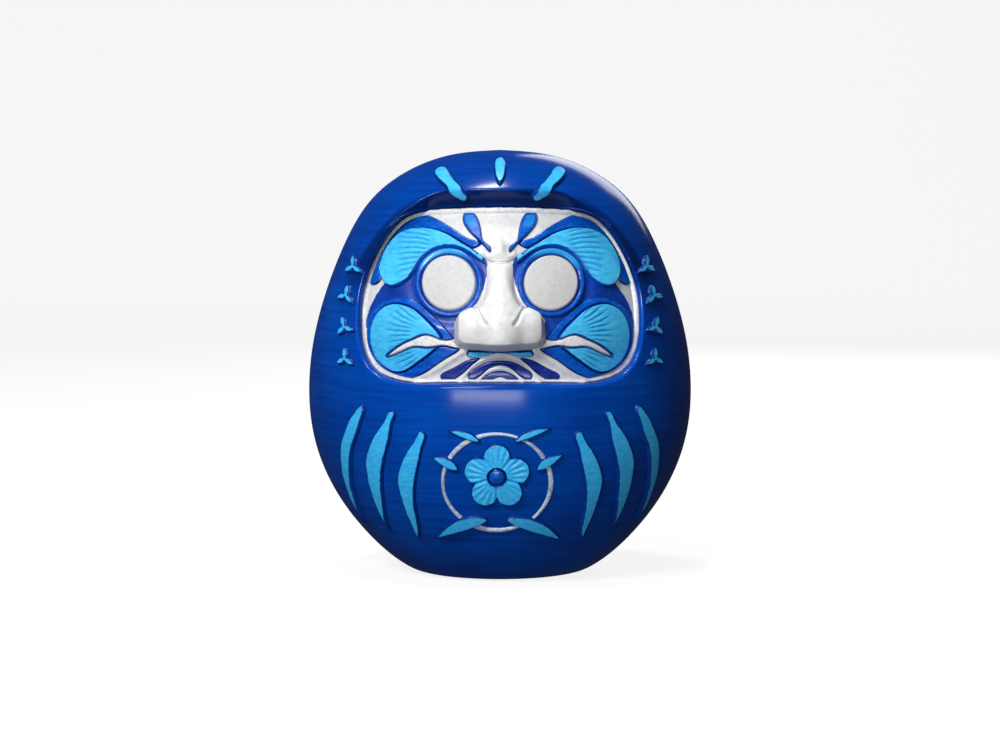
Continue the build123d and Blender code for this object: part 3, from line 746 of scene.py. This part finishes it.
OUTER_ARC = smooth_loop(whole([
    (0.0, 64.4), (3.4, 64.0), (6.6, 62.4), (8.6, 60.2), (8.0, 59.2), (6.4, 59.4), (3.2, 61.9), (0.0, 63.0),
]), 120)
INNER_ARC = smooth_loop(whole([(0.0, 61.7), (2.4, 61.2), (4.4, 60.0), (5.2, 59.1), (3.0, 59.0), (0.0, 59.9)]), 90)
CLEAR = 0.02  # gap left between neighbouring pieces


def area(loop, side=1):
    """The region inside a loop, or inside its twin on the other side."""
    return lambda x, z: outline_distance(loop, side * x, z)


def inside_rim(region):
    """The part of a region that the white rim leaves free."""
    return lambda x, z: np.minimum(region(x, z), outline_distance(face_edge, x, z) - CLEAR)


def cut(first, *others):
    """The first region, kept clear of the others."""
    return lambda x, z: np.minimum.reduce([first(x, z)] + [-o(x, z) - CLEAR for o in others])


def box_of(loop, side=1, margin=0.6):
    xs, zs = side * loop[:, 0], loop[:, 1]
    return (xs.min() - margin, zs.min() - margin), (xs.max() + margin, zs.max() + margin)


def curl_lighter(x, z, d):
    return 0.45 * soft((d - 0.75) / 0.2) * soft((z - 98.0) / 1.5)


for side, word in SIDES:
    curl, brow, whisker = area(CURL, side), area(BROW, side), area(WHISKER, side)
    cheek, nose, lid = area(CHEEK, side), area(nose_loop, side), lid_area(side)
    lay(
        f"forehead_curl_{word}", "navy_paint", dark_blue, f"curl_{word}",
        inside_rim(curl), box_of(CURL, side), face_front, plateau(0.8, 0.5), step=0.13,
        attributes={"lighter": curl_lighter},
    )
    lay(
        f"brow_{word}", "light_blue_paint", face_blue, f"brow_tuft_{word}",
        cut(brow, lid), box_of(BROW, side), face_front, brow_comb.rise, step=0.17,
        attributes={"groove": brow_comb.paint},
    )
    lay(
        f"brow_band_{word}", "navy_paint", dark_blue, f"brow_line_{word}",
        cut(inside_rim(area(BROW_BAND, side)), brow, curl, lid),
        box_of(BROW_BAND, side), face_front, plateau(0.7, 0.6), step=0.17,
    )
    lay(
        f"whisker_{word}", "white_gofun", white_ridge, f"whisker_line_{word}",
        cut(whisker, nose), box_of(WHISKER, side), face_front, plateau(1.3, 0.5), step=0.15,
    )
    lay(
        f"cheek_{word}", "light_blue_paint", face_blue, f"cheek_tuft_{word}",
        cut(cheek, whisker), box_of(CHEEK, side), face_front, cheek_comb.rise, step=0.17,
        attributes={"groove": cheek_comb.paint},
    )
    lay(
        f"cheek_band_{word}", "navy_paint", dark_blue, f"cheek_line_{word}",
        cut(inside_rim(area(CHEEK_BAND, side)), cheek, whisker, nose, lid),
        box_of(CHEEK_BAND, side), face_front, plateau(0.7, 0.5), step=0.17,
    )
    lay(
        f"moustache_{word}", "navy_paint", indigo, f"moustache_line_{word}",
        cut(inside_rim(area(MOUSTACHE, side)), area(CHEEK_BAND, side)),
        box_of(MOUSTACHE, side), face_front, plateau(0.5, 0.5), step=0.15,
    )

lay(
    "forehead_fold", "white_gofun", gofun_white, "forehead_bulge",
    cut(area(FOLD), area(nose_loop), area(CURL), area(CURL, -1)), box_of(FOLD), face_front,
    lambda x, z, d: 0.9 * soft(d / 2.2) + 0.05, step=0.16,
)
lay(
    "upper_lip", "light_blue_paint", light_blue, "lip_line",
    cut(area(LIP), area(nose_loop)), box_of(LIP), face_front, plateau(1.1, 0.6), step=0.15,
)
lay(
    "mouth_arc_outer", "navy_paint", indigo, "mouth_line_outer",
    cut(inside_rim(area(OUTER_ARC)), area(MOUSTACHE), area(MOUSTACHE, -1)),
    box_of(OUTER_ARC), face_front, plateau(0.5, 0.5), step=0.15,
)
lay(
    "mouth_arc_inner", "navy_paint", indigo, "mouth_line_inner",
    inside_rim(area(INNER_ARC)), box_of(INNER_ARC), face_front, plateau(0.5, 0.4), step=0.13,
)

# ---------------------------------------------------------------- body: crown bars, robe lines, emblem and sprigs
# Ridges of the same paste on the lacquer: three bars on the crown, three robe folds down each side, a plum blossom
# in a thin silver ring with leaves and twigs on the belly, and four leaf sprigs beside each side of the face.


def body_host(x, z):
    r = body_radius(z)
    egg = -np.sqrt(np.maximum(r * r - x * x, 1.0))
    return np.where(z > HOOD_LOW, body_front(x, z), egg)


def lay_blue(node, name, region, box, rise, step, **more):
    """A ridge on the body in light blue paint."""
    lay(node, "light_blue_paint", light_blue, name, region, box, body_host, rise, step, **more)


BAR = smooth_loop([
    (14.6, 114.6), (16.6, 114.5), (17.6, 113.2), (16.8, 111.6), (15.0, 109.9), (13.1, 108.3), (10.9, 107.0),
    (9.0, 106.6), (8.3, 107.5), (10.2, 109.7), (12.1, 111.4), (13.4, 113.2),
], 110)
BAR_CENTRE = smooth_loop(whole([
    (0.0, 117.2), (1.3, 116.5), (1.7, 115.0), (1.5, 113.0), (1.0, 111.2), (0.0, 110.3),
]), 90)
bar_rise = plateau(1.1, 0.6)
for side, word in SIDES:
    lay_blue(
        f"crown_bar_{word}", f"crown_stroke_{word}",
        area(BAR, side), box_of(BAR, side), bar_rise, 0.15, back=0.9,
    )
lay_blue(
    "crown_bar_centre", "crown_stroke_middle", area(BAR_CENTRE), box_of(BAR_CENTRE), bar_rise, 0.13, back=0.9
)

# each fold goes down its outer edge and up its inner one
ROBE_FOLDS = [
    [
        (36.2, 52.3), (37.8, 50.9), (39.6, 48.2), (41.1, 44.7), (42.3, 41.1), (42.5, 37.2), (42.3, 33.3),
        (41.4, 29.3), (40.3, 25.5), (38.5, 21.9), (35.7, 17.7), (36.6, 19.9), (37.7, 22.6), (38.7, 26.2),
        (39.4, 29.7), (39.6, 33.2), (39.5, 36.9), (38.8, 41.0), (37.3, 45.0), (36.2, 48.6), (35.6, 51.0),
    ],
    [
        (28.2, 51.3), (30.0, 49.0), (31.6, 46.4), (33.3, 43.7), (34.6, 40.7), (35.4, 37.4), (35.3, 34.3),
        (34.7, 30.4), (33.6, 26.4), (32.1, 22.3), (30.4, 18.9), (29.1, 16.5), (30.0, 19.9), (30.5, 22.9),
        (30.8, 26.7), (31.0, 30.5), (30.9, 34.2), (30.3, 37.8), (29.4, 41.3), (28.5, 45.2), (27.8, 48.6),
        (27.3, 50.8),
    ],
    [
        (20.7, 46.4), (21.9, 44.6), (23.4, 42.1), (25.1, 39.1), (26.3, 36.0), (26.9, 33.1), (26.5, 29.5),
        (25.6, 26.1), (24.6, 22.9), (23.2, 19.3), (21.5, 15.9), (21.2, 18.4), (21.6, 21.7), (22.1, 24.9),
        (22.3, 28.4), (22.1, 31.8), (21.5, 35.4), (20.7, 38.9), (19.8, 42.6), (19.4, 45.6),
    ],
]
for number, points in enumerate(ROBE_FOLDS, start=1):
    loop = smooth_loop(points, 130)
    for side, word in SIDES:
        lay_blue(
            f"robe_fold_{number}_{word}", f"robe_stroke_{number}_{word}",
            area(loop, side), box_of(loop, side), plateau(1.05, 0.5), 0.2, back=1.4,
        )

EMBLEM_X, EMBLEM_Z = -0.8, 32.3
RING_WIDE, RING_HIGH = 14.9, 13.9
BLOSSOM_Z = EMBLEM_Z + 2.0
PETAL_REACH, PETAL_RADIUS = 5.2, 3.75
DISC_RADIUS, HEART_RADIUS = 4.2, 2.2
FIFTH = 2 * math.pi / 5


def around(left, down, right, up, z=EMBLEM_Z):
    """A box by its distances from the emblem's middle line and a height."""
    return (EMBLEM_X - left, z - down), (EMBLEM_X + right, z + up)


def ring_distance(x, z):
    r = np.hypot((x - EMBLEM_X) / RING_WIDE, (z - EMBLEM_Z) / RING_HIGH)
    half = 0.55 + 0.12 * np.sin(np.arctan2(z - EMBLEM_Z, x - EMBLEM_X) * 3 + 1)
    return half - np.abs(r - 0.957) * (RING_WIDE + RING_HIGH) / 2


silver = Nodes("silver_line", 0.34, coat=0.3, coat_roughness=0.15, specular=0.5)
silver_tone = silver.noise(0.9, 4, 0.6)
silver_tones = [(0.3, (0.16, 0.24, 0.44)), (0.5, (0.42, 0.50, 0.64)), (0.72, (0.66, 0.71, 0.78))]
silver_line = silver.finish(silver.ramp(silver_tone, silver_tones), silver_tone, 0.4, 0.0003)
lay(
    "emblem_ring", "silver_line", silver_line, "belly_ring",
    ring_distance, around(15.6, 14.6, 15.6, 14.6), body_host, plateau(0.5, 0.4), step=0.2,
)


def petal_place(x, z):
    """The distance from the blossom's middle, and the turn from the middle of the nearest petal."""
    dx, dz = x - EMBLEM_X, z - BLOSSOM_Z
    return np.hypot(dx, dz), np.mod(np.arctan2(dx, dz) + FIFTH / 2, FIFTH) - FIFTH / 2


def blossom_distance(x, z):
    r, turn = petal_place(x, z)
    petal = PETAL_RADIUS - np.hypot(r * np.cos(turn) - PETAL_REACH, r * np.sin(turn))
    return np.maximum(petal, DISC_RADIUS - r)


def blossom_rise(x, z, d):
    r, turn = petal_place(x, z)
    between = np.exp(-((r * np.sin(FIFTH / 2 - np.abs(turn)) / 0.35) ** 2)) * soft(r - 2.3)
    veins = 0.12 * np.cos(turn * 26) * soft((r - 3.5) / 1.5) * soft((8.6 - r) / 1.5)
    return 1.05 * soft(d / 0.5 + 0.2) - 0.5 * between + veins


def heart_distance(x, z):
    return HEART_RADIUS - np.hypot(x - EMBLEM_X, z - BLOSSOM_Z)


def heart_dome(x, z, d):
    return 0.5 + 1.1 * np.sqrt(np.clip(d / HEART_RADIUS, 0, 1))


lay_blue(
    "emblem_blossom", "belly_blossom",
    cut(blossom_distance, heart_distance), around(9.6, 7.6, 9.6, 11.6), blossom_rise, 0.16,
)
lay(
    "emblem_heart", "navy_paint", dark_blue, "belly_blossom_heart",
    heart_distance, around(2.6, 0.6, 2.6, 4.6), body_host, heart_dome, step=0.13,
)


def leaf_distance(base, tip, bulge, curve=0.0):
    """A leaf between two points, its widest half width bulge, its spine bent sideways by curve."""
    base, tip = np.array(base), np.array(tip)
    length = np.linalg.norm(tip - base)
    along = (tip - base) / length
    across = np.array([-along[1], along[0]])

    def distance(x, z):
        u = ((x - base[0]) * along[0] + (z - base[1]) * along[1]) / length
        v = (x - base[0]) * across[0] + (z - base[1]) * across[1]
        uc = np.clip(u, 0, 1)
        width = bulge * np.sin(math.pi * uc**0.8) ** 0.75
        over = np.maximum(0, np.maximum(-u, u - 1)) * length
        return np.minimum(width - np.abs(v - curve * 4 * uc * (1 - uc)), 0.25 * length) - over

    return distance


# base, tip, half width and curve of each leaf round the ring
LEAVES = {
    "emblem_leaf_left": ((1.6, 22.6), (16.2, 16.2), 1.9, 1.1),
    "emblem_leaf_right": ((-3.2, 22.6), (-16.6, 16.8), 1.9, -1.1),
    "emblem_twig_left": ((3.6, 43.6), (13.6, 47.2), 1.1, 0.5),
    "emblem_twig_right": ((-5.0, 43.6), (-13.8, 46.4), 1.1, -0.5),
    "emblem_bud_left": ((9.4, 36.2), (16.4, 40.2), 1.4, 0.3),
    "emblem_bud_right": ((-10.8, 36.2), (-17.6, 39.4), 1.4, -0.3),
}
LEAF_MARGIN = 2.5
for node, (base, tip, bulge, curve) in LEAVES.items():
    box = (
        (min(base[0], tip[0]) - LEAF_MARGIN, min(base[1], tip[1]) - LEAF_MARGIN),
        (max(base[0], tip[0]) + LEAF_MARGIN, max(base[1], tip[1]) + LEAF_MARGIN),
    )
    shape = leaf_distance(base, tip, bulge, curve)
    lay_blue(node, node.replace("emblem", "belly"), shape, box, plateau(1.15, 0.5), 0.16)

SPRIGS = [(39.2, 88.2), (41.0, 80.5), (41.3, 72.2), (41.0, 64.0)]
SPRIG_LEAF, SPRIG_HUB = 3.1, 0.85
SPRIG_BOX = 3.4


def sprig_distance(x0, z0, side, turn):
    """Three small leaves round a hub, turned a little."""
    leaves = []
    for k in range(3):
        a = turn + math.radians(90 + 120 * k)
        tip = (x0 + SPRIG_LEAF * math.cos(a) * 0.9, z0 + SPRIG_LEAF * math.sin(a))
        leaves.append(leaf_distance((x0, z0), tip, 0.95))

    def distance(x, z):
        hub = SPRIG_HUB - np.hypot(side * x - x0, z - z0)
        return np.maximum.reduce([leaf(side * x, z) for leaf in leaves] + [hub])

    return distance


for number, (x0, z0) in enumerate(SPRIGS, start=1):
    for side, word in SIDES:
        box = (side * x0 - SPRIG_BOX, z0 - SPRIG_BOX), (side * x0 + SPRIG_BOX, z0 + SPRIG_BOX + 0.3)
        shape = sprig_distance(x0, z0, side, 0.25 * (number % 3 - 1))
        lay_blue(
            f"side_sprig_{number}_{word}", f"sprig_{number}_{word}",
            shape, box, plateau(0.95, 0.45), 0.15, back=1.0,
        )

# ---------------------------------------------------------------- hidden parts: weight, board and joining strip
# A dome of dried clay sits in the foot so that the doll rights itself, a round of grey board closes the foot, and a
# strip of brown kraft paper pasted inside covers the joint between the two halves of the shell.


def rough_stuff(name, roughness, scale, detail, rough, stretch, dark, pale, strength, distance):
    """A dull material in two tones with a bumpy grain."""
    stuff = Nodes(name, roughness, specular=0.2)
    grain = stuff.noise(scale, detail, rough, stretch=stretch)
    return stuff.finish(stuff.ramp(grain, [(0.3, dark), (0.7, pale)]), grain, strength, distance)


dried_clay = rough_stuff(
    "dried_clay", 0.85, 0.25, 6, 0.65, (1, 1, 1), (0.16, 0.10, 0.065), (0.30, 0.20, 0.13), 0.6, 0.0006
)
grey_board = rough_stuff(
    "grey_board", 0.8, 1.4, 5, 0.7, (1, 0.25, 1), (0.20, 0.17, 0.14), (0.33, 0.29, 0.24), 0.4, 0.0003
)
kraft_paper = rough_stuff(
    "kraft_paper", 0.75, 1.1, 5, 0.7, (1, 1, 0.3), (0.26, 0.17, 0.09), (0.38, 0.26, 0.15), 0.4, 0.0003
)
for node, material in (("base_weight", dried_clay), ("base_plate", grey_board), ("seam_tape", kraft_paper)):
    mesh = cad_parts[node].data
    mesh.materials.clear()
    mesh.materials.append(material)

# ---------------------------------------------------------------- floor, lamps and camera
# The doll stands on a pale floor that curves up behind it. Soft boxes light it from the upper left in front, from
# low in front, from overhead and from behind. The camera looks slightly down at it from the front.
FLAT_SHARE = 0.6  # share of the sheet that lies flat, from FLOOR_FRONT and FLOOR_DEPTH metres deep
FLOOR_FRONT, FLOOR_DEPTH = -2.2, 3.4

bpy.ops.mesh.primitive_grid_add(x_subdivisions=2, y_subdivisions=40, size=1)
floor = bpy.context.object
floor.name = "floor"
for v in floor.data.vertices:
    t = v.co.y + 0.5
    past = max(0, t - FLAT_SHARE)
    v.co.x *= 6
    v.co.y = FLOOR_FRONT + min(t, FLAT_SHARE) / FLAT_SHARE * FLOOR_DEPTH + past * 1.2
    v.co.z = 9.6 * past**1.6
for f in floor.data.polygons:
    f.use_smooth = True
floor_look = Nodes("pale_floor", 0.9, specular=0.1)
floor_tones = [(0.0, (0.22, 0.22, 0.22)), (1.0, (0.26, 0.26, 0.26))]
floor.data.materials.append(floor_look.finish(floor_look.ramp(floor_look.noise(0.004, 2), floor_tones)))
floor_look.shader.inputs["Emission Color"].default_value = (1, 1, 1, 1)
floor_look.shader.inputs["Emission Strength"].default_value = 0.86
floor.visible_glossy = False
floor.visible_diffuse = False

world = bpy.data.worlds.new("studio")
bpy.context.scene.world = world
world.use_nodes = True
world.node_tree.nodes["Background"].inputs["Color"].default_value = (1, 1, 1, 1)
world.node_tree.nodes["Background"].inputs["Strength"].default_value = 0.05


def softbox(name, place, aim, size, power):
    """A flat lamp of size (wide, high) at a place, turned to face aim."""
    light = bpy.data.lights.new(name, "AREA")
    light.shape = "RECTANGLE"
    light.size, light.size_y = size
    light.energy = power
    ob = bpy.data.objects.new(name, light)
    bpy.context.scene.collection.objects.link(ob)
    ob.location = place
    ob.rotation_euler = (Vector(aim) - Vector(place)).to_track_quat("-Z", "Y").to_euler()


softbox("key", (-0.28, -0.62, 0.48), (0, 0, 0.06), (0.30, 0.10), 4.6)
softbox("low", (-0.12, -0.95, 0.04), (0, 0, 0.035), (0.7, 0.06), 3.4)
softbox("top", (-0.06, 0.10, 0.8), (-0.01, -0.03, 0.1), (0.16, 0.05), 2.4)
softbox("front_top", (-0.10, -0.22, 0.62), (-0.01, -0.04, 0.06), (0.14, 0.03), 0.9)
softbox("rear", (0.25, 0.85, 0.40), (0, 0, 0.06), (0.4, 0.3), 1.6)
bpy.context.scene.view_settings.view_transform = "Standard"

CAMERA_DISTANCE, CAMERA_HEIGHT = 0.777, 0.0574
CAMERA_TILT = math.radians(4)
camera = bpy.data.cameras.new("camera")
camera.lens, camera.sensor_width = 100, 36
camera_object = bpy.data.objects.new("camera", camera)
bpy.context.scene.collection.objects.link(camera_object)
camera_object.location = (
    0,
    -CAMERA_DISTANCE * math.cos(CAMERA_TILT),
    CAMERA_HEIGHT + CAMERA_DISTANCE * math.sin(CAMERA_TILT),
)
camera_object.rotation_euler = (math.pi / 2 - CAMERA_TILT, 0, 0)
bpy.context.scene.camera = camera_object
